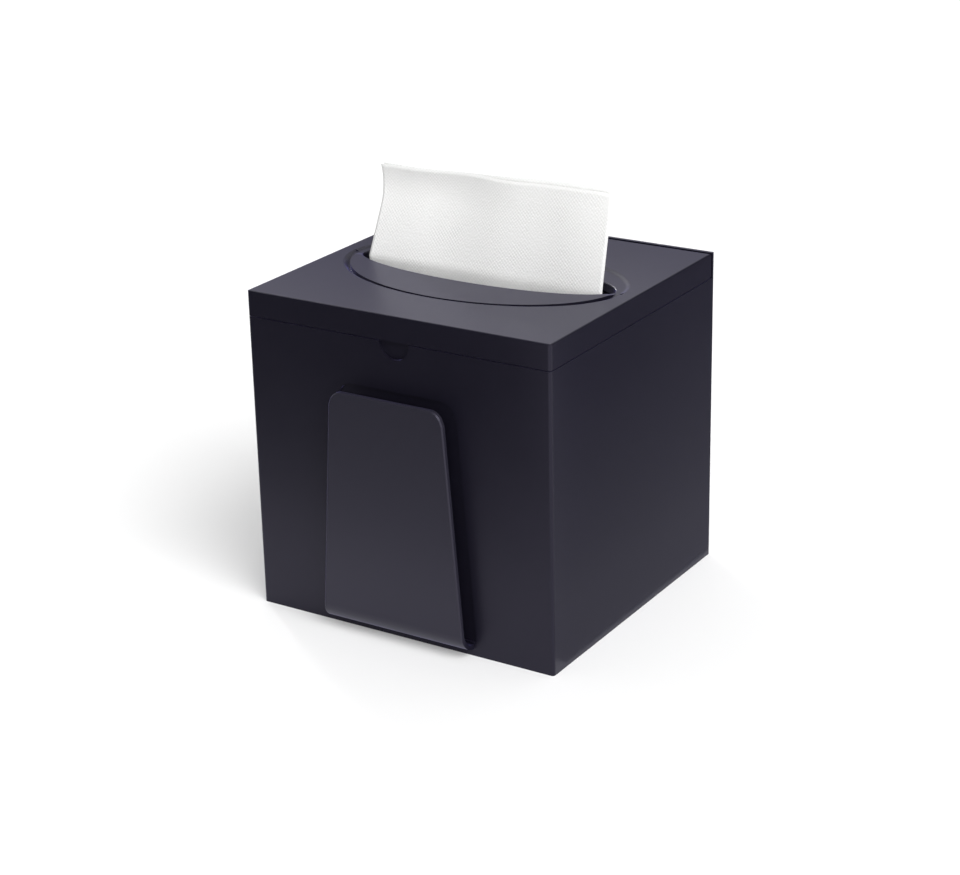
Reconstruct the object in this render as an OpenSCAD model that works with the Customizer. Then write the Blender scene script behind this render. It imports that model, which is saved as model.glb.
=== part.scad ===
// Table dispenser for interfolded paper napkins: an open box with a card clip on its
// front, a hinged lid with an oval dish and slot, a stack of folded napkins inside,
// and the next napkin drawn up through the slot.
// Origin: middle of the underside. +Z is up, the front faces -Y.

/* [Box] */
// Width of the box, side to side
box_w = 150; // [148:1:180]
// Depth of the box, front to back
box_d = 144; // [138:1:180]
// Height of the box with its lid shut
box_h = 146; // [136:1:180]
// Thickness of the moulded walls
wall = 2.4; // [1.8:0.1:3]
// Thickness of the box floor
floor_t = 2.8; // [2.2:0.1:4]
// Radius of the upright outer edges
corner_r = 1.4; // [0.6:0.1:3]
// Radius of the small rounding on the other outer edges
edge_r = 0.7; // [0.3:0.1:1.2]

/* [Thumb recess] */
// Width of the recess under the front of the lid
thumb_w = 14.8; // [10:0.2:24]
// Height of the recess
thumb_h = 7.5; // [4:0.5:10]
// Depth of the recess into the front wall
thumb_d = 1.4; // [0.6:0.1:1.4]

/* [Card clip] */
// Width of the clip plate at its top
clip_top_w = 56; // [40:1:80]
// Width of the clip plate at its foot
clip_foot_w = 72; // [50:1:100]
// Height of the top edge of the clip plate
clip_top = 111.5; // [80:0.5:118]
// Height of the underside of the clip's foot
clip_foot = 3.4; // [2:0.2:12]
// Clear gap between the clip plate and the front wall
clip_gap = 6.8; // [5:0.1:10]
// Thickness of the clip plate
clip_t = 2; // [1.4:0.1:3]
// Radius of the plate's upper corners
clip_r = 6; // [2:0.5:12]
// Depth of the shallow panel sunk into the wall behind the plate
panel_d = 0.8; // [0.4:0.1:1.2]
// Border of that panel outside the outline of the plate
panel_rim = 1.2; // [0.5:0.1:3]
// Bevel along the front edges of the clip plate
clip_bevel = 0.5; // [0.2:0.1:1]

/* [Lid] */
// Height of the lid at its skirt
lid_h = 11.2; // [11:0.2:16]
// Thickness of the lid's top plate
lid_t = 2.4; // [1.8:0.1:2.6]
// Gap of the seam between the skirt and the box wall
seam_gap = 0.4; // [0.2:0.1:0.8]
// Gap between the back of the lid and the back wall
back_gap = 0.9; // [0.8:0.1:2]
// Thickness of the locating rib inside the skirt
rib_t = 1.6; // [1.2:0.1:2.4]
// Reach of the locating rib below the seam
rib_drop = 2.6; // [1.5:0.1:4]
// Clearance between the locating rib and the box wall
rib_gap = 0.5; // [0.4:0.1:1]

/* [Hinge] */
// Distance of the hinge axis from the top and from the back of the lid
hinge_in = 3.2; // [3:0.1:3.4]
// Radius of the lid's back upper edge, which has to clear the back wall as it turns
back_r = 1.6; // [1.4:0.1:2.4]
// Radius of the two stub pins moulded inside the skirt
stub_r = 1.25; // [1:0.05:1.4]
// Radial running clearance of the stubs in their ears
stub_fit = 0.06; // [0.02:0.01:0.1]
// Outer radius of the ears that hold the stubs
ear_r = 2.2; // [2:0.1:2.3]
// Thickness of the ears
ear_t = 3; // [2:0.1:5]
// Clearance around the ears
ear_gap = 0.3; // [0.2:0.05:0.6]

/* [Dish and slot] */
// Room in the slot at each side of the napkin
slot_room = 4.5; // [2:0.5:5]
// Reach of the slot to the front of its two tips
slot_front = 18; // [14:0.5:22]
// Reach of the slot to the back of its two tips
slot_back = 21; // [15:0.5:24]
// Width of the front lip across its middle
lip_d = 24.5; // [16:0.5:26]
// Width of the front lip at its two tips
lip_tip = 1.6; // [1.4:0.1:3]
// Rise of the front lip above the lid
lip_rise = 0.15; // [0.05:0.05:1]
// Length of the ramp at each tip of the front lip
lip_ramp = 7; // [3:0.5:12]
// Groove between the lip and the edge of the dish at the front
groove_front = 1.4; // [1:0.1:3]
// Groove between the lip and the edge of the dish at the sides
groove_side = 3.8; // [3.5:0.1:5.5]
// Length over which each end of the groove runs up to the dish
groove_ramp = 14; // [6:1:20]
// Depth of the groove below the lid
groove_depth = 2.2; // [1.4:0.1:3]
// Reach of the dish to the back of the slot's tips
dish_back = 38.5; // [32:0.5:42]
// Depth of the dish below the lid
dish_depth = 0.7; // [0.4:0.1:1.2]
// Width of the soft slope inside the edge of the dish
dish_slope = 3; // [1.5:0.1:3.2]
// Radius of the rounding along the slot
slot_roll = 0.8; // [0.4:0.1:1]

/* [Napkins] */
// Width of the napkins, along the slot
napkin_w = 118; // [100:1:118]
// Room between the stack and the front and back walls
stack_room = 6.6; // [2:0.2:20]
// Room between the top of the stack and the seam of the lid
stack_free = 19.7; // [6:0.1:90]
// Thickness of one fold of the stack
fold_t = 2.8; // [2:0.1:4]
// Depth of the creases between the folds
fold_in = 1.6; // [0.8:0.1:3]
// Thickness of the napkin in the slot, folded double
napkin_t = 0.9; // [0.6:0.1:1.5]
// Height of the drawn napkin above the lid
napkin_rise = 40.5; // [20:0.5:60]
// Height that the napkin's top edge gains from its left to its right end
napkin_tilt = 4.5; // [0:0.5:10]
// Place of the napkin in the slot, from the middle of the lid
napkin_y = -4; // [-5:0.5:0]
// Lean of the napkin to the back, for each millimetre above the lid
napkin_lean = 0.27; // [0:0.01:0.4]
// Twist of the drawn napkin: how far its upper corners turn to the back and the front
napkin_twist = 4; // [0:0.5:6]
// Gap between loose paper and what it lies on or passes
paper_gap = 0.3; // [0.2:0.1:0.6]

/* [Pads] */
// Radius of the four non-slip pads in the underside
pad_r = 6; // [4:0.5:9]
// Thickness of a pad
pad_t = 1.2; // [0.8:0.1:1.4]
// Distance of the pads from the sides of the box
pad_in = 14; // [11:0.5:24]
// Clearance of a pad in its seat
pad_gap = 0.1; // [0.05:0.05:0.2]

/* [Hidden] */
$fn = 64;
shell_color = [0.16, 0.155, 0.2];
paper_color = [0.95, 0.95, 0.94];
pad_color = [0.08, 0.08, 0.09];
eps = 0.01;
over = 1;

// Heights and inner faces
seam_z = box_h - lid_h;
wall_top = seam_z - seam_gap;
inner_x = box_w/2 - wall;
inner_y = box_d/2 - wall;
front_y = -box_d/2;
plate_z = box_h - lid_t;

// Hinge axis, the back of the lid, and the radius about the axis of the skirt's lower back edge
lid_back = inner_y - back_gap;
hinge_y = lid_back - hinge_in;
hinge_z = box_h - hinge_in;
sweep_r = hinge_z - seam_z;
ear_x = inner_x - ear_gap - ear_t;
stub_end = ear_x - ear_gap;
bore_r = stub_r + stub_fit;
neck_in = 9;
neck_out = 3;
neck_low = 16;
neck_waist = 0.5;
neck_root = 0.8;

// Ovals of the slot, the lip and the dish: their half widths along the slot, and heights
slot_a = napkin_w/2 + slot_room;
lip_a = slot_a + lip_tip;
lip_b = slot_front + lip_d;
dish_a = lip_a + groove_side;
dish_front = lip_b + groove_front;
dish_z = box_h - dish_depth;
groove_z = box_h - groove_depth;
lip_z = box_h + lip_rise;
oval_n = 128;
roll_n = 5;
slope_n = 8;
ramp_n = 8;
inner_r = 1.2;

// Card clip
clip_front = front_y - clip_gap - clip_t;
clip_bend = clip_gap + clip_t;

// Stack and drawn napkin
stack_d = 2*(inner_y - stack_room);
stack_z = floor_t + paper_gap;
stack_top = seam_z - stack_free;
stack_h = stack_top - stack_z;
folds = floor(stack_h/fold_t);
fold_h = stack_h/folds;
fold_side = 0.35;
fold_turn = 0.14;
cut_in = 0.6;
cut_end = 0.2;
napkin_low = stack_top + paper_gap;
napkin_cols = 24;
napkin_rows = 18;
wave_h = 0.7;
wave_turn = 400;
wave_start = 60;

// Points of an oval of half width a that reaches b to the front and c to the back
function oval(a, b, c) = [for (i = [0:oval_n - 1]) let (q = 360*i/oval_n)
    [a*cos(q), (q > 180 ? b : c)*sin(q)]];

// Solid through a list of ovals [a, b, c, z], from the lowest to the highest
module oval_loft(rings) {
    last = len(rings) - 1;
    points = [for (r = rings) for (p = oval(r[0], r[1], r[2])) [p[0], p[1], r[3]]];
    function at(k, i) = k*oval_n + i % oval_n;
    sides = [for (k = [0:last - 1]) for (i = [0:oval_n - 1]) each [
        [at(k, i), at(k + 1, i), at(k + 1, i + 1)],
        [at(k, i), at(k + 1, i + 1), at(k, i + 1)]]];
    low = [for (i = [0:oval_n - 1]) at(0, i)];
    high = [for (i = [oval_n - 1:-1:0]) at(last, i)];
    polyhedron(points, concat([low], sides, [high]), convexity = 4);
}

// Half a wave that rises from 0 to 1 while t does, level at both ends
function ease(t) = (1 - cos(180*t))/2;

// Rings that flare outwards over a quarter circle of radius r, up to the height z
function flare(a, b, c, r, z) = [for (i = [0:roll_n]) let (q = 90*i/roll_n, out = r*(1 - cos(q)))
    [a + out, b + out, c + out, z - r + r*sin(q)]];

// Plan of a box of size w by d, with rounded upright edges
module plan(w, d, r) {
    square([w - 2*r, d], center = true);
    square([w, d - 2*r], center = true);
    for (x = [-1, 1]) for (y = [-1, 1])
        translate([x*(w/2 - r), y*(d/2 - r)]) circle(r);
}

// Extrudes a profile drawn in Y and Z along X, over the width w
module along_x(w) {
    translate([-w/2, 0, 0]) rotate([90, 0, 90]) linear_extrude(w) children();
}

// Extrudes a profile drawn in X and Z towards the back, from y0 to y1
module along_y(y0, y1) {
    translate([0, y1, 0]) rotate([90, 0, 0]) linear_extrude(y1 - y0) children();
}

// Outline of the clip plate in X and Z, grown outwards by grow
module clip_outline(grow) {
    top = clip_top + grow;
    slope = (clip_foot_w - clip_top_w)/2/(clip_top - clip_foot);
    half = clip_top_w/2 + grow;
    r = clip_r + grow;
    polygon([[-half - slope*(top - clip_foot), clip_foot], [-half - slope*r, top - r],
             [half + slope*r, top - r], [half + slope*(top - clip_foot), clip_foot]]);
    translate([-half + r, top - r]) square([2*(half - r), r]);
    for (x = [-1, 1]) translate([x*(half - r), top - r]) circle(r);
}

// The clip seen from the side: a plate that bends back into the wall at its foot
module clip_profile() {
    translate([clip_front, clip_foot + clip_bend])
        square([clip_t, clip_top - clip_foot - clip_bend + over]);
    intersection() {
        translate([front_y + eps, clip_foot + clip_bend]) difference() {
            circle(clip_bend);
            circle(clip_gap);
        }
        translate([clip_front - over, clip_foot - over]) square([clip_bend + over + eps, clip_bend + over]);
    }
}

module card_clip() {
    intersection() {
        along_x(clip_foot_w + 2*clip_bend) clip_profile();
        hull() {
            along_y(clip_front + clip_bevel, front_y + wall/2) clip_outline(0);
            along_y(clip_front, clip_front + eps) clip_outline(-clip_bevel);
        }
    }
}

// One ear beside the lid's skirt: a round eye on a neck that grows from the side wall
module ear() {
    translate([ear_x, 0, 0]) rotate([90, 0, 90]) linear_extrude(ear_t)
        translate([hinge_y, hinge_z]) {
            circle(ear_r);
            polygon([[-ear_r, 0], [0, 0], [-neck_waist*ear_r, -neck_root*ear_r],
                     [-neck_out, -sweep_r - seam_gap], [-neck_out, -neck_low],
                     [-neck_in, -neck_low], [-neck_in, -sweep_r - seam_gap]]);
        }
    translate([ear_x, hinge_y - neck_in, hinge_z - neck_low])
        cube([ear_t + ear_gap + wall/2, neck_in - neck_out, neck_low - sweep_r - seam_gap - eps]);
}

module ears() {
    for (side = [0, 1]) mirror([side, 0, 0]) ear();
}

// Calls its children at the four pad seats
module at_pads() {
    for (x = [-1, 1]) for (y = [-1, 1])
        translate([x*(box_w/2 - pad_in), y*(box_d/2 - pad_in), 0]) children();
}

module body() {
    color(shell_color) difference() {
        union() {
            linear_extrude(wall_top) plan(box_w, box_d, corner_r);
            intersection() {
                linear_extrude(box_h) plan(box_w, box_d, corner_r);
                along_x(box_w) back_wall_profile();
            }
            card_clip();
        }
        translate([0, 0, floor_t]) linear_extrude(wall_top - floor_t + over)
            plan(2*inner_x, 2*inner_y, inner_r);
        along_y(front_y - over, front_y + thumb_d) thumb_outline();
        difference() {
            along_y(front_y - eps, front_y + panel_d) clip_outline(panel_rim);
            translate([-box_w/2, front_y - over, 0]) cube([box_w, wall, clip_foot + clip_t + over]);
        }
        translate([0, 0, -over]) at_pads() cylinder(r = pad_r, h = pad_t + pad_gap + over);
    }
    color(shell_color) difference() {
        ears();
        translate([-box_w, hinge_y, hinge_z]) rotate([0, 90, 0]) cylinder(r = bore_r, h = 2*box_w);
    }
}

// The back wall from the side, with its outer upper edge rounded
module back_wall_profile() {
    translate([inner_y, 0]) square([wall, box_h - edge_r]);
    translate([inner_y, box_h - 2*edge_r]) square([wall - edge_r, 2*edge_r]);
    translate([inner_y + wall - edge_r, box_h - edge_r]) circle(edge_r);
}

// Half-moon under the seam
module thumb_outline() {
    r = (thumb_w*thumb_w/4 + thumb_h*thumb_h)/(2*thumb_h);
    intersection() {
        translate([0, wall_top - thumb_h + r]) circle(r);
        translate([-thumb_w, wall_top - thumb_h - over]) square([2*thumb_w, thumb_h + 2*over]);
    }
}

// The lid seen from the side: its back is rounded at the top, and below about the hinge axis
module lid_profile() {
    translate([front_y, seam_z]) square([hinge_y - front_y, lid_h - edge_r]);
    translate([front_y + edge_r, box_h - 2*edge_r])
        square([lid_back - back_r - front_y - edge_r, 2*edge_r]);
    translate([front_y + edge_r, box_h - edge_r]) circle(edge_r);
    translate([lid_back - back_r, box_h - back_r]) circle(back_r);
    translate([hinge_y - eps, hinge_z - eps]) square([hinge_in + eps, hinge_in - back_r + eps]);
    translate([hinge_y - eps, hinge_z - eps]) square([hinge_in - back_r + eps, hinge_in]);
    intersection() {
        translate([hinge_y, hinge_z]) circle(sweep_r);
        translate([hinge_y - eps, seam_z]) square([hinge_in + eps, sweep_r]);
    }
}

// The lid seen from the front, with its two upper edges rounded
module lid_front() {
    half = box_w/2;
    translate([-half, seam_z]) square([box_w, lid_h - edge_r]);
    translate([-half + edge_r, box_h - 2*edge_r]) square([box_w - 2*edge_r, 2*edge_r]);
    for (x = [-1, 1]) translate([x*(half - edge_r), box_h - edge_r]) circle(edge_r);
}

// Locating rib inside the front and the sides of the skirt
module locating_rib() {
    out_x = inner_x - rib_gap;
    out_y = inner_y - rib_gap;
    back = hinge_y - neck_in - 2*rib_t;
    translate([0, 0, seam_z - rib_drop]) linear_extrude(plate_z + eps - seam_z + rib_drop) intersection() {
        difference() {
            plan(2*out_x, 2*out_y, inner_r);
            square([2*(out_x - rib_t), 2*(out_y - rib_t)], center = true);
        }
        translate([-box_w/2, -box_d/2]) square([box_w, box_d/2 + back]);
    }
}

// Room for one ear: a round pocket, and a cut through the back of the skirt below it
module ear_room() {
    translate([stub_end, hinge_y, hinge_z]) rotate([0, 90, 0])
        cylinder(r = ear_r + ear_gap, h = inner_x - stub_end);
    translate([stub_end, hinge_y - neck_in, seam_z - over])
        cube([inner_x - stub_end, neck_in + hinge_in + over, sweep_r + over]);
}

module lid() {
    color(shell_color) difference() {
        union() {
            difference() {
                union() {
                    lid_shell();
                    translate([0, 0, groove_z - lid_t]) linear_extrude(groove_depth + eps)
                        polygon(oval(dish_a, dish_front, dish_back));
                }
                dish_room(dish_depth);
                groove_room();
            }
            front_lip();
            locating_rib();
            for (side = [0, 1]) mirror([side, 0, 0])
                translate([stub_end, hinge_y, hinge_z]) rotate([0, 90, 0])
                    cylinder(r = stub_r, h = inner_x - stub_end + wall/2);
        }
        slot_room_cut();
    }
}

// Top plate and skirt, open below, with room for the ears
module lid_shell() {
    difference() {
        intersection() {
            along_x(box_w) lid_profile();
            along_y(front_y - over, inner_y) lid_front();
            translate([0, 0, seam_z - over]) linear_extrude(lid_h + 2*over)
                plan(box_w, box_d, corner_r);
        }
        translate([0, (lid_back - wall - inner_y)/2, seam_z - over])
            linear_extrude(plate_z - seam_z + over)
                plan(2*inner_x, lid_back - wall + inner_y, inner_r);
        for (side = [0, 1]) mirror([side, 0, 0]) ear_room();
    }
}

// Room of an oval dish of the given depth, whose floor meets its edge in a soft slope
module dish_room(depth) {
    slope = [for (i = [0:slope_n]) let (t = i/slope_n, in = dish_slope*(1 - t))
        [dish_a - in, dish_front - in, dish_back - in, box_h - depth + depth*ease(t)]];
    oval_loft(concat(slope, [[dish_a, dish_front, dish_back, box_h + over]]));
}

// Room of the groove around the front lip, whose floor runs up to the dish at both ends
module groove_room() {
    ramp = [for (i = [0:ramp_n]) let (t = i/ramp_n)
        [-groove_ramp*t, dish_z + eps - (dish_z - groove_z)*ease(t)]];
    intersection() {
        dish_room(groove_depth);
        along_x(box_w) polygon(concat([[0, box_h + 2*over]], ramp, [[-groove_ramp, groove_z - over],
            [-box_d/2, groove_z - over], [-box_d/2, box_h + 2*over]]));
    }
}

// Rings of the slot's wall, which flares out to the height z
function slot_rings(z) = concat([[slot_a, slot_front, slot_back, groove_z - lid_t - over]],
    flare(slot_a, slot_front, slot_back, slot_roll, z),
    [[slot_a + slot_roll, slot_front + slot_roll, slot_back + slot_roll, lip_z + over]]);

// Room of the slot, rounded along the lip at the front and along the dish at the back
module slot_room_cut() {
    oval_loft(slot_rings(lip_z));
    intersection() {
        oval_loft(slot_rings(dish_z));
        translate([-box_w/2, 0, 0]) cube([box_w, box_d/2, box_h + over]);
    }
}

// The crescent in front of the slot, which runs down to the dish at its two tips
module front_lip() {
    ramp = [for (i = [0:ramp_n]) let (t = i/ramp_n) [-lip_ramp*t, dish_z - eps + (lip_z - dish_z)*ease(t)]];
    intersection() {
        translate([0, 0, groove_z - eps]) linear_extrude(lip_z - groove_z + eps)
            polygon(oval(lip_a, lip_b, lip_b));
        along_x(box_w) polygon(concat([[0, groove_z - over]], ramp,
            [[-lip_ramp, lip_z + over], [-box_d/2, lip_z + over], [-box_d/2, groove_z - over]]));
    }
}

// Side view of the folded stack: round folds and cut edges by turns, on both faces
function stack_edge(side) = [for (i = [0:folds - 1])
    let (z = stack_z + fold_h*i, f = (i + (side > 0 ? 1 : 0)) % 2, y = side*stack_d/2)
    each (f == 0
        ? [[y - side*fold_in, z], [y - side*fold_side*fold_in, z + fold_turn*fold_h],
           [y, z + fold_h/2], [y - side*fold_side*fold_in, z + (1 - fold_turn)*fold_h]]
        : [[y - side*fold_in, z], [y - side*cut_in*fold_in, z + cut_end*fold_h],
           [y - side*cut_in*fold_in, z + (1 - cut_end)*fold_h]])];
function turned(list) = [for (i = [len(list) - 1:-1:0]) list[i]];

module napkin_stack() {
    right = concat(stack_edge(1), [[stack_d/2 - fold_in, stack_top]]);
    left = concat(stack_edge(-1), [[-stack_d/2 + fold_in, stack_top]]);
    color(paper_color) along_x(napkin_w) polygon(concat(right, turned(left)));
}

// Middle surface of the drawn napkin, at u across it and v up it, both from 0 to 1
function napkin_top(u) = box_h + napkin_rise + napkin_tilt*(u - 0.5);
function napkin_wave(u) = wave_h*sin(wave_turn*u + wave_start);
function napkin_point(u, v) = let (z = napkin_low + (napkin_top(u) - napkin_low)*v)
    [napkin_w*(u - 0.5),
     napkin_y + napkin_lean*max(0, z - box_h) + napkin_wave(u) + napkin_twist*v*v*cos(180*u), z];

module drawn_napkin() {
    half = [0, napkin_t/2, 0];
    c = napkin_cols;
    r = napkin_rows;
    sheet = [for (i = [0:c]) for (j = [0:r]) napkin_point(i/c, j/r)];
    n = len(sheet);
    function f(i, j) = i*(r + 1) + j;
    function b(i, j) = n + f(i, j);
    function quad(a, b, c, d) = [[a, b, c], [a, c, d]];
    faces = [for (i = [0:c - 1]) for (j = [0:r - 1]) each concat(
        quad(f(i, j), f(i, j + 1), f(i + 1, j + 1), f(i + 1, j)),
        quad(b(i, j), b(i + 1, j), b(i + 1, j + 1), b(i, j + 1)))];
    ends = [for (j = [0:r - 1]) each concat(
        quad(b(0, j), b(0, j + 1), f(0, j + 1), f(0, j)),
        quad(f(c, j), f(c, j + 1), b(c, j + 1), b(c, j)))];
    rims = [for (i = [0:c - 1]) each concat(
        quad(b(i, 0), f(i, 0), f(i + 1, 0), b(i + 1, 0)),
        quad(f(i, r), b(i, r), b(i + 1, r), f(i + 1, r)))];
    color(paper_color) polyhedron(concat([for (p = sheet) p - half], [for (p = sheet) p + half]),
        concat(faces, ends, rims), convexity = 6);
}

// One pad in its seat, at the side x and the end y, each -1 or 1
module pad(x, y) {
    color(pad_color) translate([x*(box_w/2 - pad_in), y*(box_d/2 - pad_in), 0])
        cylinder(r = pad_r - pad_gap, h = pad_t);
}

body();
lid();
napkin_stack();
drawn_napkin();
pad(-1, -1);  // pad_front_left
pad(1, -1);  // pad_front_right
pad(-1, 1);  // pad_back_left
pad(1, 1);  // pad_back_right
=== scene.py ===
# %% [markdown]
# A table dispenser for paper napkins: a dark satin plastic box with a hinged lid, an oval
# slot, a stack of folded napkins inside and one napkin drawn up through the slot. The box
# and the lid are exact solids from the frame and keep their shape. This script gives them
# their moulded finish, and makes the paper, which is soft, from real folded sheets.

import math

import bmesh
import bpy
from mathutils import Matrix, Vector


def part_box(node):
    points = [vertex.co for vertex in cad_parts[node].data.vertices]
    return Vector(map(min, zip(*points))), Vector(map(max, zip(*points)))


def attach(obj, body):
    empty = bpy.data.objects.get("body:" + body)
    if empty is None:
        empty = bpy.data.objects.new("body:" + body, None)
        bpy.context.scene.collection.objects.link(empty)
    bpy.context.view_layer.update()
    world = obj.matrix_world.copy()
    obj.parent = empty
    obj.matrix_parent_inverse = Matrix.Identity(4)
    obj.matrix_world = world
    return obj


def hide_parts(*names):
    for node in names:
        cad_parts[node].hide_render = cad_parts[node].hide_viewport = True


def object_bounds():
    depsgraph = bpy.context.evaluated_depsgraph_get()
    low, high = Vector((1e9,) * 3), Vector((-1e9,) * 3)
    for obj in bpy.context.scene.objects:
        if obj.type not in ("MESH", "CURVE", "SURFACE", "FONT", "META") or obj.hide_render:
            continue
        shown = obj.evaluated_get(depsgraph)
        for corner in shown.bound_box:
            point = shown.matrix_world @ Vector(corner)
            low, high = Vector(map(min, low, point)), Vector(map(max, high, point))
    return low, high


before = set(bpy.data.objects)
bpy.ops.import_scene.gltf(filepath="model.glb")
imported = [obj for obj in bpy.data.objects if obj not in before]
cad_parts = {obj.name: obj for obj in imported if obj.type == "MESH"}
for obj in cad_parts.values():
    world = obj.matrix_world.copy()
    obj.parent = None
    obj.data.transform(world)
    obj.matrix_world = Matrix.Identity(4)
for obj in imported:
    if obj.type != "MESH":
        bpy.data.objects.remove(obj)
cad_low, cad_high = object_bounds()
MM = 0.001

# %% [markdown]
# The camera stands where the photographer's did. Its angles, distance and lens were worked
# out from the box's seven visible corners, so the box's edges fall on the same pixels.

# %% Camera
PHOTO_WIDTH = 960
AZIMUTH = math.radians(32.406)
ELEVATION = math.radians(21.263)
ROLL = math.radians(-1.271)
DISTANCE = 1.026
SHIFT_RIGHT = -0.00386
SHIFT_UP = 0.00063
FOCUS = Vector((0, 0, 0.0675))
FOCAL_PIXELS = 2297.1
SENSOR = 36.0


def photo_camera():
    """The camera at the photo's angle, turned about its own axis by the photo's small roll."""
    back = Vector((math.sin(AZIMUTH)*math.cos(ELEVATION), -math.cos(AZIMUTH)*math.cos(ELEVATION),
                   math.sin(ELEVATION)))
    level = Vector((0, 0, 1)).cross(back).normalized()
    upright = back.cross(level)
    right = level*math.cos(ROLL) + upright*math.sin(ROLL)
    up = upright*math.cos(ROLL) - level*math.sin(ROLL)
    data = bpy.data.cameras.new("camera")
    data.sensor_fit = "HORIZONTAL"
    data.sensor_width = SENSOR
    data.lens = FOCAL_PIXELS*SENSOR/PHOTO_WIDTH
    camera = bpy.data.objects.new("camera", data)
    bpy.context.scene.collection.objects.link(camera)
    place = FOCUS + back*DISTANCE + right*SHIFT_RIGHT + up*SHIFT_UP
    camera.matrix_world = Matrix.Translation(place) @ Matrix((right, up, back)).transposed().to_4x4()
    bpy.context.scene.camera = camera
    return camera


camera = photo_camera()
print("camera at", [round(c, 3) for c in camera.matrix_world.translation])
print("lens", round(camera.data.lens, 1), "mm")

# %% [markdown]
# Every material is a small node tree. Two helpers keep them short: one starts a material
# with its Principled shader, the other starts a node group with named inputs and outputs.

# %% Helpers for node trees
def principled(name, **values):
    """A new material, its node tree and its Principled shader, with constants set on its sockets."""
    material = bpy.data.materials.new(name)
    material.use_nodes = True
    tree = material.node_tree
    shader = tree.nodes["Principled BSDF"]
    for socket, value in values.items():
        shader.inputs[socket.replace("_", " ")].default_value = value
    return material, tree, shader


def new_group(name, inputs, outputs):
    """A shader node group with float or vector inputs (name, kind, default) and outputs (name, kind)."""
    tree = bpy.data.node_groups.new(name, "ShaderNodeTree")
    for label, kind, default in inputs:
        socket = tree.interface.new_socket(label, in_out="INPUT", socket_type=kind)
        if default is not None:
            socket.default_value = default
    for label, kind in outputs:
        tree.interface.new_socket(label, in_out="OUTPUT", socket_type=kind)
    entry = tree.nodes.new("NodeGroupInput")
    leave = tree.nodes.new("NodeGroupOutput")
    return tree, entry.outputs, leave.inputs


def math_node(tree, operation, first, second=None, clamp=False):
    """A Math node whose inputs are sockets or numbers; returns its output."""
    node = tree.nodes.new("ShaderNodeMath")
    node.operation = operation
    node.use_clamp = clamp
    for slot, value in zip(node.inputs, (first, second)):
        if value is None:
            continue
        if isinstance(value, bpy.types.NodeSocket):
            tree.links.new(value, slot)
        else:
            slot.default_value = value
    return node.outputs[0]


def place_group(tree, group, **values):
    """Puts a node group into a material's tree and sets its inputs."""
    node = tree.nodes.new("ShaderNodeGroup")
    node.node_tree = group
    for label, value in values.items():
        node.inputs[label.replace("_", " ")].default_value = value
    return node


# %% [markdown]
# Moulded plastic is never a mirror. The mould leaves a very fine grain, the surface is a
# little wavy over centimetres, and hands leave patches that are slightly duller. One group
# makes all three from noise on object coordinates, so that it stays put when a lid turns.

# %% Group: moulded surface
def moulded_surface():
    tree, given, result = new_group(
        "moulded surface",
        [("Vector", "NodeSocketVector", None), ("Grain size", "NodeSocketFloat", 2200.0),
         ("Patch size", "NodeSocketFloat", 28.0), ("Roughness", "NodeSocketFloat", 0.4),
         ("Patchiness", "NodeSocketFloat", 0.06)],
        [("Height", "NodeSocketFloat"), ("Roughness", "NodeSocketFloat"), ("Patch", "NodeSocketFloat")])
    grain = tree.nodes.new("ShaderNodeTexNoise")
    grain.inputs["Detail"].default_value = 2.0
    patch = tree.nodes.new("ShaderNodeTexNoise")
    patch.inputs["Detail"].default_value = 4.0
    patch.inputs["Roughness"].default_value = 0.6
    for noise, size in ((grain, "Grain size"), (patch, "Patch size")):
        tree.links.new(given["Vector"], noise.inputs["Vector"])
        tree.links.new(given[size], noise.inputs["Scale"])
    centred = math_node(tree, "SUBTRACT", patch.outputs["Fac"], 0.5)
    change = math_node(tree, "MULTIPLY", centred, given["Patchiness"])
    tree.links.new(math_node(tree, "ADD", change, given["Roughness"], clamp=True), result["Roughness"])
    tree.links.new(grain.outputs["Fac"], result["Height"])
    tree.links.new(patch.outputs["Fac"], result["Patch"])
    return tree


MOULDED = moulded_surface()
print("group", MOULDED.name, "sockets", [s.name for s in MOULDED.interface.items_tree])

# %% [markdown]
# The shell is a very dark blue-grey plastic with a satin finish. Seen flat on it is almost
# black. Its lid looks paler only because it mirrors the white room at a low angle. That could
# be painted on, but then it would stay pale from every side, so it is left to the shader's own
# Fresnel. A weak sheen adds the blue that shows at low angles. The clip's outer face is given
# a paler colour than the walls, a painted light for the extra light it catches, and a mask on
# the object's own Y finds it.

# %% Material: satin shell
SHELL_DARK = (0.0064, 0.0058, 0.0106, 1)
SHELL_PALE = (0.0080, 0.0072, 0.0130, 1)
# The clip's colour below is painted light: paler than the walls, for the light its face catches.
CLIP_PAINTED_LIGHT = (0.0185, 0.0175, 0.0255, 1)
CLIP_PLANE = -0.0785
MIRROR_BLUE = (0.80, 0.76, 1.0, 1)
SHEEN_BLUE = (0.42, 0.38, 1.0, 1)


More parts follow.
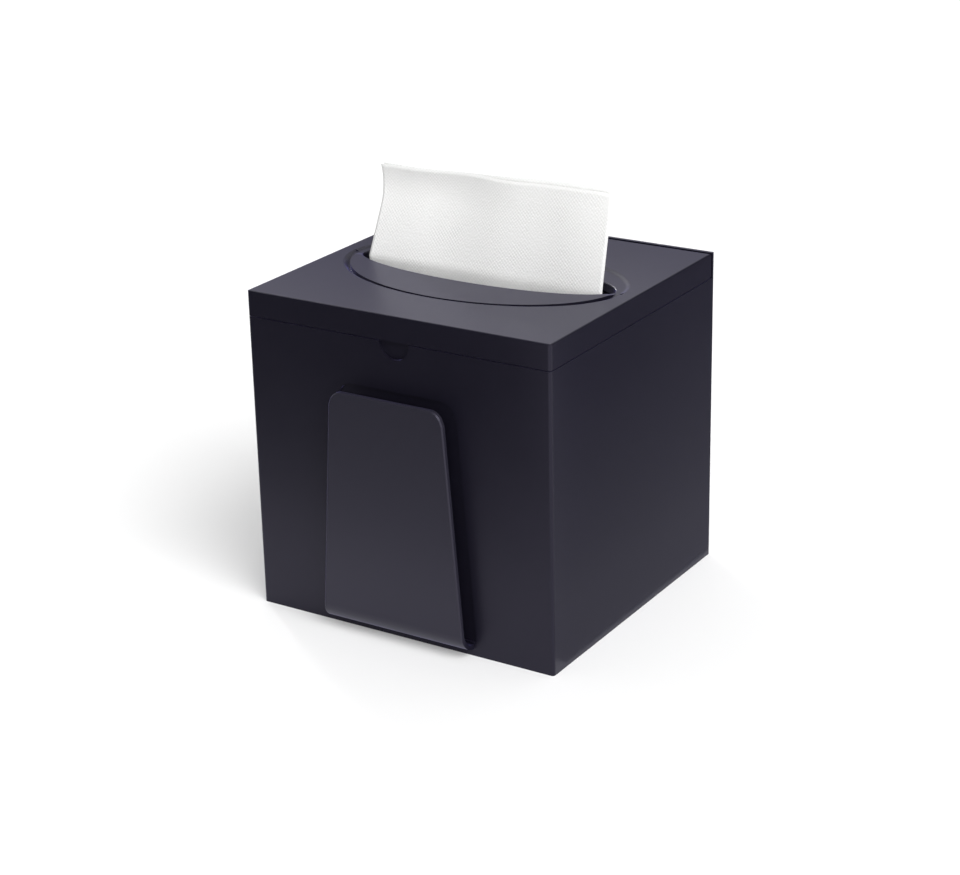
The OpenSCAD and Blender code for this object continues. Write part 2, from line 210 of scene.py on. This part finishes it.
def satin_shell():
    material, tree, shader = principled("satin shell", IOR=1.48)
    shader.inputs["Specular IOR Level"].default_value = 0.34
    shader.inputs["Specular Tint"].default_value = MIRROR_BLUE
    shader.inputs["Sheen Weight"].default_value = 0.24
    shader.inputs["Sheen Roughness"].default_value = 0.3
    shader.inputs["Sheen Tint"].default_value = SHEEN_BLUE
    where = tree.nodes.new("ShaderNodeTexCoord")
    surface = place_group(tree, MOULDED, Roughness=0.35, Patchiness=0.07)
    tree.links.new(where.outputs["Object"], surface.inputs["Vector"])
    tint = tree.nodes.new("ShaderNodeMix")
    tint.data_type = "RGBA"
    tint.inputs["A"].default_value = SHELL_DARK
    tint.inputs["B"].default_value = SHELL_PALE
    tree.links.new(surface.outputs["Patch"], tint.inputs["Factor"])
    split = tree.nodes.new("ShaderNodeSeparateXYZ")
    tree.links.new(where.outputs["Object"], split.inputs[0])
    # Painted light: a mask on the object's Y gives the clip's face the paler colour.
    clip = tree.nodes.new("ShaderNodeMix")
    clip.data_type = "RGBA"
    clip.inputs["B"].default_value = CLIP_PAINTED_LIGHT
    clip_light_mask = math_node(tree, "LESS_THAN", split.outputs["Y"], CLIP_PLANE)
    tree.links.new(clip_light_mask, clip.inputs["Factor"])
    tree.links.new(tint.outputs["Result"], clip.inputs["A"])
    tree.links.new(clip.outputs["Result"], shader.inputs["Base Color"])
    tree.links.new(surface.outputs["Roughness"], shader.inputs["Roughness"])
    bump = tree.nodes.new("ShaderNodeBump")
    bump.inputs["Strength"].default_value = 0.12
    bump.inputs["Distance"].default_value = 0.00005
    tree.links.new(surface.outputs["Height"], bump.inputs["Height"])
    tree.links.new(bump.outputs["Normal"], shader.inputs["Normal"])
    return material


SHELL = satin_shell()
print("shell nodes", len(SHELL.node_tree.nodes))

# %% [markdown]
# The four pads under the box are soft black rubber. Rubber scatters light much more than the
# shell does, so the same group is placed again with a duller roughness and a coarser grain.

# %% Material: rubber pads
def pad_rubber():
    material, tree, shader = principled("pad rubber", Base_Color=(0.012, 0.012, 0.013, 1))
    where = tree.nodes.new("ShaderNodeTexCoord")
    surface = place_group(tree, MOULDED, Roughness=0.75, Patchiness=0.1, Grain_size=1400.0)
    tree.links.new(where.outputs["Object"], surface.inputs["Vector"])
    tree.links.new(surface.outputs["Roughness"], shader.inputs["Roughness"])
    bump = tree.nodes.new("ShaderNodeBump")
    bump.inputs["Strength"].default_value = 0.4
    bump.inputs["Distance"].default_value = 0.00008
    tree.links.new(surface.outputs["Height"], bump.inputs["Height"])
    tree.links.new(bump.outputs["Normal"], shader.inputs["Normal"])
    return material


PAD = pad_rubber()
print("pad nodes", len(PAD.node_tree.nodes))

# %% [markdown]
# The box, the lid and the pads are right as the frame gives them, so they keep their meshes
# and only get these materials. Their slots are filled one by one, as a solid may have several.

# %% Dress the exact solids
def dress(node, material):
    """Gives a CAD node its finished material, in every slot it has."""
    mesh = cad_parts[node].data
    for index in range(len(mesh.materials)):
        mesh.materials[index] = material
    if not mesh.materials:
        mesh.materials.append(material)


for name in ("body", "lid"):
    dress(name, SHELL)
for name in sorted(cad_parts):
    if name.startswith("pad_"):
        dress(name, PAD)
print("shell triangles", {n: len(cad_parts[n].data.polygons) for n in ("body", "lid")})

# %% [markdown]
# Napkin paper is two thin plies pressed together by an embossing roller. Its pins leave a
# net of tiny pits along both diagonals, about a millimetre apart. The pits are too small and
# too many to model, so two crossed waves draw them in the shader, on the sheet's own UV map,
# in metres, so that the net follows every bend of the paper. Noise fades it in patches, as
# handling does, and a finer noise adds the fibres.

# %% Group: embossed net
def embossed_net():
    tree, given, result = new_group(
        "embossed net",
        [("Vector", "NodeSocketVector", None), ("Pitch", "NodeSocketFloat", 0.0012),
         ("Unevenness", "NodeSocketFloat", 0.25), ("Patch size", "NodeSocketFloat", 55.0),
         ("Patch start", "NodeSocketFloat", 0.28), ("Depth", "NodeSocketFloat", 0.55)],
        [("Height", "NodeSocketFloat"), ("Pit", "NodeSocketFloat")])
    split = tree.nodes.new("ShaderNodeSeparateXYZ")
    tree.links.new(given["Vector"], split.inputs[0])
    turn = math_node(tree, "DIVIDE", math.tau, given["Pitch"])
    waves = []
    for operation in ("ADD", "SUBTRACT"):
        diagonal = math_node(tree, operation, split.outputs["X"], split.outputs["Y"])
        waves.append(math_node(tree, "COSINE", math_node(tree, "MULTIPLY", diagonal, turn)))
    worn = tree.nodes.new("ShaderNodeTexNoise")
    worn.inputs["Detail"].default_value = 3.0
    tree.links.new(given["Vector"], worn.inputs["Vector"])
    tree.links.new(given["Patch size"], worn.inputs["Scale"])
    kept = math_node(tree, "SUBTRACT", worn.outputs["Fac"], given["Patch start"])
    depth = math_node(tree, "MULTIPLY", kept, given["Depth"], clamp=True)
    product = math_node(tree, "ADD", waves[0], waves[1])
    net = math_node(tree, "ADD", math_node(tree, "MULTIPLY", product, depth), 0.5)
    fibre = tree.nodes.new("ShaderNodeTexNoise")
    fibre.inputs["Scale"].default_value = 900.0
    fibre.inputs["Detail"].default_value = 3.0
    tree.links.new(given["Vector"], fibre.inputs["Vector"])
    uneven = math_node(tree, "MULTIPLY", fibre.outputs["Fac"], given["Unevenness"])
    tree.links.new(math_node(tree, "ADD", net, uneven), result["Height"])
    tree.links.new(math_node(tree, "SUBTRACT", 1.0, net), result["Pit"])
    return tree


NET = embossed_net()
print("group", NET.name, "sockets", [s.name for s in NET.interface.items_tree])

# %% Material: napkin paper
# The second colour is painted shade: the paper turns darker in the embossed pits, where shade gathers.
PAPER_WHITE = (0.84, 0.84, 0.833, 1)
PIT_PAINTED_SHADE = (0.74, 0.74, 0.732, 1)


def napkin_paper():
    material, tree, shader = principled("napkin paper", Roughness=0.95)
    shader.inputs["Specular IOR Level"].default_value = 0.2
    shader.inputs["Sheen Weight"].default_value = 0.12
    where = tree.nodes.new("ShaderNodeTexCoord")
    net = place_group(tree, NET, Pitch=0.00165, Unevenness=1.1)
    tree.links.new(where.outputs["UV"], net.inputs["Vector"])
    # Painted shade: the mix leans to the darker colour where the pits lie.
    tint = tree.nodes.new("ShaderNodeMix")
    tint.data_type = "RGBA"
    tint.inputs["A"].default_value = PAPER_WHITE
    tint.inputs["B"].default_value = PIT_PAINTED_SHADE
    tree.links.new(net.outputs["Pit"], tint.inputs["Factor"])
    tree.links.new(tint.outputs["Result"], shader.inputs["Base Color"])
    bump = tree.nodes.new("ShaderNodeBump")
    bump.inputs["Strength"].default_value = 0.8
    bump.inputs["Distance"].default_value = 0.00025
    tree.links.new(net.outputs["Height"], bump.inputs["Height"])
    tree.links.new(bump.outputs["Normal"], shader.inputs["Normal"])
    return material


PAPER = napkin_paper()
print("paper from", PAPER_WHITE[:3], "to", PIT_PAINTED_SHADE[:3], "in the pits")

# %% [markdown]
# The drawn napkin is one sheet folded double. Its front leaf runs down through the slot to
# a fold just above the stack, and its back leaf runs up again behind it. A cloth simulation
# would give it folds of its own, but not the ones of the photo, so each leaf is a function of
# two numbers: u from the left side to the right, and t from the fold up to the top edge. Above
# the lid the sheet leans back, most at the left, where its corner curls forward to a point.

# %% Size and place of the drawn napkin
stack_low, stack_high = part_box("napkin_stack")
NAPKIN_WIDTH = stack_high.x - stack_low.x
LID_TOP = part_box("body")[1].z
TAIL = stack_high.z + 0.0006
TOP_LEFT = 0.1853
TOP_RIGHT = 0.1885
NAPKIN_SHIFT = 0.0008
SLOT_Y = -0.0040
LEAN_LEFT = 0.0165
LEAN_RIGHT = 0.0095
SHEAR = 0.0034
CURL = 0.040
CURL_START = 0.60
CORNER_START = 0.55
CORNER_WIDTHS = 6
CORNER_OUT = 0.006
CORNER_SPLAY = 0.0012
LEAF_GAP = 0.0009
LEAF_SPLAY = 0.8
LEAF_STEP = 0.0016
ROUNDING = 0.0016
PLY = 0.00022
BROAD_WAVE = 0.0006
NARROW_WAVE = 0.00035


def swing(u, start, end):
    """A smooth step from 0 to 1 as u runs from start to end."""
    t = min(1.0, max(0.0, (u - start)/(end - start)))
    return t*t*(3 - 2*t)


def wave(u, z):
    """Soft upright waves of the paper, in metres: strongest at the free top edge."""
    free = min(1.0, max(0.0, (z - TAIL)/(TOP_RIGHT - TAIL)))
    size = BROAD_WAVE*math.sin(7.0*u + 0.6) + NARROW_WAVE*math.sin(17.0*u + 1.9)
    return size * (0.35 + 0.65*free)


def leaf_point(u, t, side):
    """Point on the front leaf (side -1) or the back leaf (side 1): t runs from the fold to the top."""
    edge = TOP_LEFT + (TOP_RIGHT - TOP_LEFT)*swing(u, 0.1, 0.85) - ROUNDING*swing(u, 0.95, 1.05)
    if side < 0:
        edge -= LEAF_STEP*swing(u, 0.35, 0.6)
    z = TAIL + (edge - TAIL)*t
    above = (z - LID_TOP)/(TOP_RIGHT - LID_TOP)
    lean = LEAN_LEFT + (LEAN_RIGHT - LEAN_LEFT)*swing(u, 0.2, 0.85)
    curl = CURL*max(0.0, above - CURL_START)**2*(1 - swing(u, 0.1, 0.8))
    y = SLOT_Y + lean*max(above, 0.0) - curl
    spread = min(1.0, t*8)
    y += side*0.5*LEAF_GAP*spread*(1 + LEAF_SPLAY*max(above, 0.0)*(1 - u)**4)
    corner = max(0.0, above - CORNER_START)*max(0.0, 1 - CORNER_WIDTHS*u)
    x = NAPKIN_SHIFT + NAPKIN_WIDTH*(u - 0.5) - CORNER_OUT*corner + SHEAR*max(above, 0.0)*(1 - u)
    return Vector((x, y + wave(u, z) + side*CORNER_SPLAY*corner, z))


print("napkin", round(NAPKIN_WIDTH/MM, 1), "mm wide, from", round(TAIL/MM, 1), "to", TOP_RIGHT/MM, "mm up")

# %% [markdown]
# A sheet made of rows and columns of points bends anywhere. Its UV map is laid out at the
# same time, in metres along the sheet, and Solidify gives it the thickness of two plies.

# %% A sheet from rows of points


def grid_sheet(name, columns, path, width, thickness):
    """A sheet from a grid of points path[row](u), with a UV map in metres, thickened to a closed mesh."""
    mesh = bmesh.new()
    uv = mesh.loops.layers.uv.new("UVMap")
    rows = [[mesh.verts.new(point(c/columns)) for c in range(columns + 1)] for point in path]
    length = [0.0]
    for first, second in zip(rows, rows[1:]):
        length.append(length[-1] + (second[columns//2].co - first[columns//2].co).length)
    for r in range(len(rows) - 1):
        for c in range(columns):
            face = mesh.faces.new((rows[r][c], rows[r][c + 1], rows[r + 1][c + 1], rows[r + 1][c]))
            face.smooth = True
            corners = ((c, r), (c + 1, r), (c + 1, r + 1), (c, r + 1))
            for loop, (column, row) in zip(face.loops, corners):
                loop[uv].uv = (width*column/columns, length[row])
    data = bpy.data.meshes.new(name)
    mesh.to_mesh(data)
    mesh.free()
    piece = bpy.data.objects.new(name, data)
    bpy.context.scene.collection.objects.link(piece)
    solidify = piece.modifiers.new("thickness", "SOLIDIFY")
    solidify.thickness = thickness
    solidify.offset = 0
    finished = bpy.data.meshes.new_from_object(piece.evaluated_get(bpy.context.evaluated_depsgraph_get()))
    piece.modifiers.remove(solidify)
    piece.data = finished
    return piece, length[-1]


# %% The drawn napkin
NAPKIN_ROWS = 46
NAPKIN_COLUMNS = 110


def drawn_napkin():
    """The folded sheet, from the front leaf's top edge down to the fold and up the back leaf."""
    rows = NAPKIN_ROWS
    front = [lambda u, t=1 - i/rows: leaf_point(u, t, -1) for i in range(rows)]
    back = [lambda u, t=i/rows: leaf_point(u, t, 1) for i in range(rows + 1)]
    piece, length = grid_sheet("napkin_sheet", NAPKIN_COLUMNS, front + back, NAPKIN_WIDTH, PLY)
    piece.data.materials.clear()
    piece.data.materials.append(PAPER)
    return piece, length


napkin, napkin_length = drawn_napkin()
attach(napkin, "lid")
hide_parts("drawn_napkin")
print("flat length", round(napkin_length, 4), "m, faces", len(napkin.data.polygons))

# %% [markdown]
# The stack holds a couple of hundred napkins folded into each other, so both long sides
# show round folds and cut edges by turns. They could be copied in a Python loop, but a rule
# like this is what Geometry Nodes are for: one folded layer is set again and again up the
# stack, turned end for end each time and pushed about by a small seeded amount. The layer
# comes first, as a small mesh of its own.

# %% One folded layer
STACK_WIDTH = NAPKIN_WIDTH
STACK_DEPTH = stack_high.y - stack_low.y
STACK_HEIGHT = stack_high.z - stack_low.z
LAYERS = 88
LAYER = STACK_HEIGHT/LAYERS
LAYER_FILL = 0.94
LOOSENESS = 0.0009
STACK_SEED = 7


def folded_layer():
    """One layer of the stack: round at its fold, with the cut edges of two leaves opposite."""
    half = STACK_DEPTH/2
    thick = LAYER_FILL*LAYER
    fold = [(half - thick/2 + thick/2*math.cos(a), thick/2 + thick/2*math.sin(a))
            for a in (math.radians(d) for d in range(-90, 91, 30))]
    cut = [(-half + 0.0006, thick), (-half + 0.0006, 0.56*thick), (-half + 0.0018, 0.5*thick),
           (-half + 0.0009, 0.44*thick), (-half + 0.0009, 0)]
    outline = fold + cut
    mesh = bmesh.new()
    uv = mesh.loops.layers.uv.new("UVMap")
    sides = [[mesh.verts.new((x, y, z)) for y, z in outline] for x in (-STACK_WIDTH/2, STACK_WIDTH/2)]
    mesh.faces.new(list(reversed(sides[0])))
    mesh.faces.new(sides[1])
    for i in range(len(outline)):
        j = (i + 1) % len(outline)
        face = mesh.faces.new((sides[0][i], sides[0][j], sides[1][j], sides[1][i]))
        face.smooth = i < len(fold) - 1
    for face in mesh.faces:
        for loop in face.loops:
            loop[uv].uv = (loop.vert.co.x, loop.vert.co.y + loop.vert.co.z)
    bmesh.ops.recalc_face_normals(mesh, faces=mesh.faces)
    data = bpy.data.meshes.new("folded_layer")
    mesh.to_mesh(data)
    mesh.free()
    return bpy.data.objects.new("folded_layer", data)


layer = folded_layer()
print("one layer", round(LAYER/MM, 2), "mm thick,", LAYERS, "layers")

# %% [markdown]
# The tree takes the number of layers, their step, their looseness and a seed. It ends in
# Realize Instances, which turns the copies into real faces, and in Set Material.

# %% Geometry Nodes tree for the stack
def stack_tree(layer_object):
    """Sets the layer again and again up a line, with every other one turned end for end."""
    tree = bpy.data.node_groups.new("stack of folds", "GeometryNodeTree")
    nodes, links = tree.nodes, tree.links
    sockets = {}
    for label, kind, default in (
            ("Layers", "NodeSocketInt", LAYERS), ("Step", "NodeSocketFloat", LAYER),
            ("Looseness", "NodeSocketFloat", LOOSENESS), ("Seed", "NodeSocketInt", STACK_SEED)):
        socket = tree.interface.new_socket(label, in_out="INPUT", socket_type=kind)
        socket.default_value = default
        sockets[label] = socket.identifier
    tree.interface.new_socket("Geometry", in_out="OUTPUT", socket_type="NodeSocketGeometry")
    given = nodes.new("NodeGroupInput").outputs
    line = nodes.new("GeometryNodeMeshLine")
    links.new(given["Layers"], line.inputs["Count"])
    rise = nodes.new("ShaderNodeCombineXYZ")
    links.new(given["Step"], rise.inputs["Z"])
    links.new(rise.outputs[0], line.inputs["Offset"])
    source = nodes.new("GeometryNodeObjectInfo")
    source.inputs["Object"].default_value = layer_object
    place = nodes.new("GeometryNodeInstanceOnPoints")
    links.new(line.outputs["Mesh"], place.inputs["Points"])
    links.new(source.outputs["Geometry"], place.inputs["Instance"])
    number = nodes.new("GeometryNodeInputIndex")
    odd = nodes.new("ShaderNodeMath")
    odd.operation = "MODULO"
    odd.inputs[1].default_value = 2
    links.new(number.outputs[0], odd.inputs[0])
    turn = nodes.new("ShaderNodeMath")
    turn.operation = "MULTIPLY"
    turn.inputs[1].default_value = math.pi
    links.new(odd.outputs[0], turn.inputs[0])
    angle = nodes.new("ShaderNodeCombineXYZ")
    links.new(turn.outputs[0], angle.inputs["Z"])
    links.new(angle.outputs[0], place.inputs["Rotation"])
    loose = nodes.new("FunctionNodeRandomValue")
    loose.data_type = "FLOAT_VECTOR"
    loose.inputs["Min"].default_value = (-0.5, -0.4, 0)
    loose.inputs["Max"].default_value = (0.5, 0.4, 0)
    links.new(given["Seed"], loose.inputs["Seed"])
    amount = nodes.new("ShaderNodeVectorMath")
    amount.operation = "SCALE"
    links.new(loose.outputs["Value"], amount.inputs[0])
    links.new(given["Looseness"], amount.inputs["Scale"])
    shift = nodes.new("GeometryNodeTranslateInstances")
    shift.inputs["Local Space"].default_value = False
    links.new(place.outputs[0], shift.inputs["Instances"])
    links.new(amount.outputs[0], shift.inputs["Translation"])
    real = nodes.new("GeometryNodeRealizeInstances")
    links.new(shift.outputs[0], real.inputs[0])
    paint = nodes.new("GeometryNodeSetMaterial")
    paint.inputs["Material"].default_value = PAPER
    links.new(real.outputs[0], paint.inputs["Geometry"])
    links.new(paint.outputs[0], nodes.new("NodeGroupOutput").inputs["Geometry"])
    return tree, sockets


# %% [markdown]
# A modifier's inputs are set by their sockets' identifiers. The evaluated result is kept as a
# plain mesh and the modifier is removed, so that the stack exports like any other piece.

# %% Build the stack
def build_stack():
    bpy.context.scene.collection.objects.link(layer)
    piece = bpy.data.objects.new("stack_of_napkins", bpy.data.meshes.new("stack_of_napkins"))
    bpy.context.scene.collection.objects.link(piece)
    tree, sockets = stack_tree(layer)
    repeat = piece.modifiers.new("stack of folds", "NODES")
    repeat.node_group = tree
    repeat[sockets["Layers"]] = LAYERS - 1
    repeat[sockets["Step"]] = LAYER
    repeat[sockets["Looseness"]] = LOOSENESS
    repeat[sockets["Seed"]] = STACK_SEED
    plain = bpy.data.meshes.new_from_object(piece.evaluated_get(bpy.context.evaluated_depsgraph_get()))
    piece.modifiers.remove(repeat)
    piece.data = plain
    middle = (stack_low + stack_high)/2
    plain.transform(Matrix.Translation((middle.x, middle.y, stack_low.z)))
    bpy.data.objects.remove(layer)
    return piece


stack = build_stack()
print("stack faces", len(stack.data.polygons))
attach(stack, "box")
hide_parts("napkin_stack")

# %% [markdown]
# The photo was taken on white. A floor lit until it clips would do that too, but it would
# lose the shadow. So floor and room are plain white to the camera and to mirror rays alike,
# only the light that they give is dimmer, and the soft shadow to the left stays.

# %% Floor and room
def seen_directly(tree):
    """A mask that is 1 for rays from the camera, and for mirror and glass rays, and 0 for light."""
    path = tree.nodes.new("ShaderNodeLightPath")
    either = math_node(tree, "MAXIMUM", path.outputs["Is Camera Ray"], path.outputs["Is Glossy Ray"])
    return math_node(tree, "MAXIMUM", either, path.outputs["Is Transmission Ray"])


def stage_plane(name, corners, material):
    """A four-cornered plane of the set, which is no part of the object."""
    mesh = bpy.data.meshes.new(name)
    mesh.from_pydata(corners, [], [(0, 1, 2, 3)])
    mesh.materials.append(material)
    piece = bpy.data.objects.new(name, mesh)
    bpy.context.scene.collection.objects.link(piece)
    return piece


def floor(reach, lift):
    """The pale floor, lifted a little towards white where it is seen."""
    material, tree, shader = principled("pale floor", Base_Color=(0.80, 0.80, 0.80, 1), Roughness=0.9)
    shader.inputs["Specular IOR Level"].default_value = 0.0
    shader.inputs["Emission Color"].default_value = (1, 1, 1, 1)
    glow = math_node(tree, "MULTIPLY", seen_directly(tree), lift)
    tree.links.new(glow, shader.inputs["Emission Strength"])
    corners = [(-reach, -reach, 0), (reach, -reach, 0), (reach, reach, 0), (-reach, reach, 0)]
    return stage_plane("floor", corners, material)


def room(behind, ahead):
    """The white room: it gives more light from behind the box than from ahead of it."""
    world = bpy.data.worlds.new("white room")
    bpy.context.scene.world = world
    world.use_nodes = True
    tree = world.node_tree
    back = tree.nodes["Background"]
    back.inputs["Color"].default_value = (1, 1, 1, 1)
    where = tree.nodes.new("ShaderNodeTexCoord")
    split = tree.nodes.new("ShaderNodeSeparateXYZ")
    tree.links.new(where.outputs["Generated"], split.inputs[0])
    ramp = tree.nodes.new("ShaderNodeMapRange")
    ramp.inputs["From Min"].default_value = -0.7
    ramp.inputs["From Max"].default_value = 0.5
    ramp.inputs["To Min"].default_value = ahead
    ramp.inputs["To Max"].default_value = behind
    tree.links.new(split.outputs["Y"], ramp.inputs["Value"])
    seen = tree.nodes.new("ShaderNodeMix")
    tree.links.new(seen_directly(tree), seen.inputs["Factor"])
    tree.links.new(ramp.outputs["Result"], seen.inputs["A"])
    seen.inputs["B"].default_value = 1.0
    tree.links.new(seen.outputs["Result"], back.inputs["Strength"])


floor(reach=6.0, lift=0.13)
room(behind=0.72, ahead=0.40)
print("world", bpy.context.scene.world.name)

# %% [markdown]
# A dark satin box mirrors whatever stands around it. Photographers set dark cards just
# outside the picture, so that a white room doesn't grey its faces. Such cards stand here
# ahead, at the right and behind, and one lies on the floor. They are paler at the foot, which
# gives the walls their slow change from dark at the top to less dark below. Only mirror rays
# see them: they give no shadow.

# %% Dark cards
def dark_card(name, corners, low_shade, high_shade, high):
    """A card that only mirror rays see, shaded evenly from its foot to the given height."""
    material = bpy.data.materials.new(name)
    material.use_nodes = True
    tree = material.node_tree
    tree.nodes.clear()
    where = tree.nodes.new("ShaderNodeTexCoord")
    split = tree.nodes.new("ShaderNodeSeparateXYZ")
    tree.links.new(where.outputs["Object"], split.inputs[0])
    ramp = tree.nodes.new("ShaderNodeMapRange")
    ramp.inputs["From Max"].default_value = high
    ramp.inputs["To Min"].default_value = low_shade
    ramp.inputs["To Max"].default_value = high_shade
    tree.links.new(split.outputs["Z"], ramp.inputs["Value"])
    glow = tree.nodes.new("ShaderNodeEmission")
    tree.links.new(ramp.outputs["Result"], glow.inputs["Strength"])
    tree.links.new(glow.outputs[0], tree.nodes.new("ShaderNodeOutputMaterial").inputs["Surface"])
    card = stage_plane(name, corners, material)
    card.visible_camera = card.visible_diffuse = card.visible_shadow = False
    card.visible_transmission = False


def upright(start, end, low, high):
    """The four corners of an upright card that stands on the line from start to end."""
    return [(*start, low), (*end, low), (*end, high), (*start, high)]


# %% Set the cards
FRONT_CARD_Y = cad_low.y - 0.082
RIGHT_CARD_X = cad_high.x + 0.040
BACK_CARD_Y = cad_high.y + 0.060
BACK_CARD_JOIN = -0.085
BACK_CARD_FOOT = 0.12
FLOOR_CARD_START = cad_high.x + MM
FLOOR_CARD_Z = 0.001

front_edge = upright((-0.8, FRONT_CARD_Y), (0.03, FRONT_CARD_Y), 0, 0.6)
dark_card("front_card", front_edge, 0.52, 0.0, 0.080)
right_edge = upright((RIGHT_CARD_X, -0.03), (RIGHT_CARD_X, 0.8), 0, 0.3)
dark_card("right_card", right_edge, 0.30, 0.06, 0.100)
on_floor = [(FLOOR_CARD_START, -0.06, FLOOR_CARD_Z), (RIGHT_CARD_X, -0.06, FLOOR_CARD_Z),
            (RIGHT_CARD_X, 0.3, FLOOR_CARD_Z), (FLOOR_CARD_START, 0.3, FLOOR_CARD_Z)]
dark_card("floor_card", on_floor, 0.4, 0.4, 0.1)
back_left = upright((-0.3, BACK_CARD_Y), (BACK_CARD_JOIN, BACK_CARD_Y), BACK_CARD_FOOT, 0.24)
dark_card("back_card_left", back_left, 0.25, 0.25, 0.2)
back_right = upright((BACK_CARD_JOIN, BACK_CARD_Y), (0.08, BACK_CARD_Y), BACK_CARD_FOOT, 0.196)
dark_card("back_card_right", back_right, 0.42, 0.42, 0.2)
print("front card at y", round(FRONT_CARD_Y, 3), "right card at x", round(RIGHT_CARD_X, 3))

# %% [markdown]
# Three suns light the set. The key is wide, so its shadow has a soft edge. The front fill
# lifts the napkin, and a narrow rim lamp from low behind draws the light arc on the dish.
# A sun's direction is the same everywhere, so each needs only an angle and a strength.

# %% Lamps
def sun(name, direction, strength, angle):
    """A sun lamp that shines from the given direction, with its apparent width in degrees."""
    data = bpy.data.lights.new(name, "SUN")
    data.energy = strength
    data.angle = math.radians(angle)
    lamp = bpy.data.objects.new(name, data)
    lamp.rotation_euler = Vector(direction).to_track_quat("Z", "Y").to_euler()
    bpy.context.scene.collection.objects.link(lamp)


sun("key", (0.85, -0.40, 0.80), 2.7, 44)
sun("front_fill", (0.35, -1.0, 0.40), 0.7, 36)
sun("rim", (-0.78, 0.55, 0.33), 0.75, 6)
bpy.context.scene.view_settings.view_transform = "Standard"
print("lamps", [lamp.name for lamp in bpy.data.lights])

# %% [markdown]
# The finish changes no size, so the dressed object has to fill the same box as the frame's
# solids. The frame's box is printed.

# %% Print the frame's box
print("cad box", [round(c, 4) for c in cad_high - cad_low])
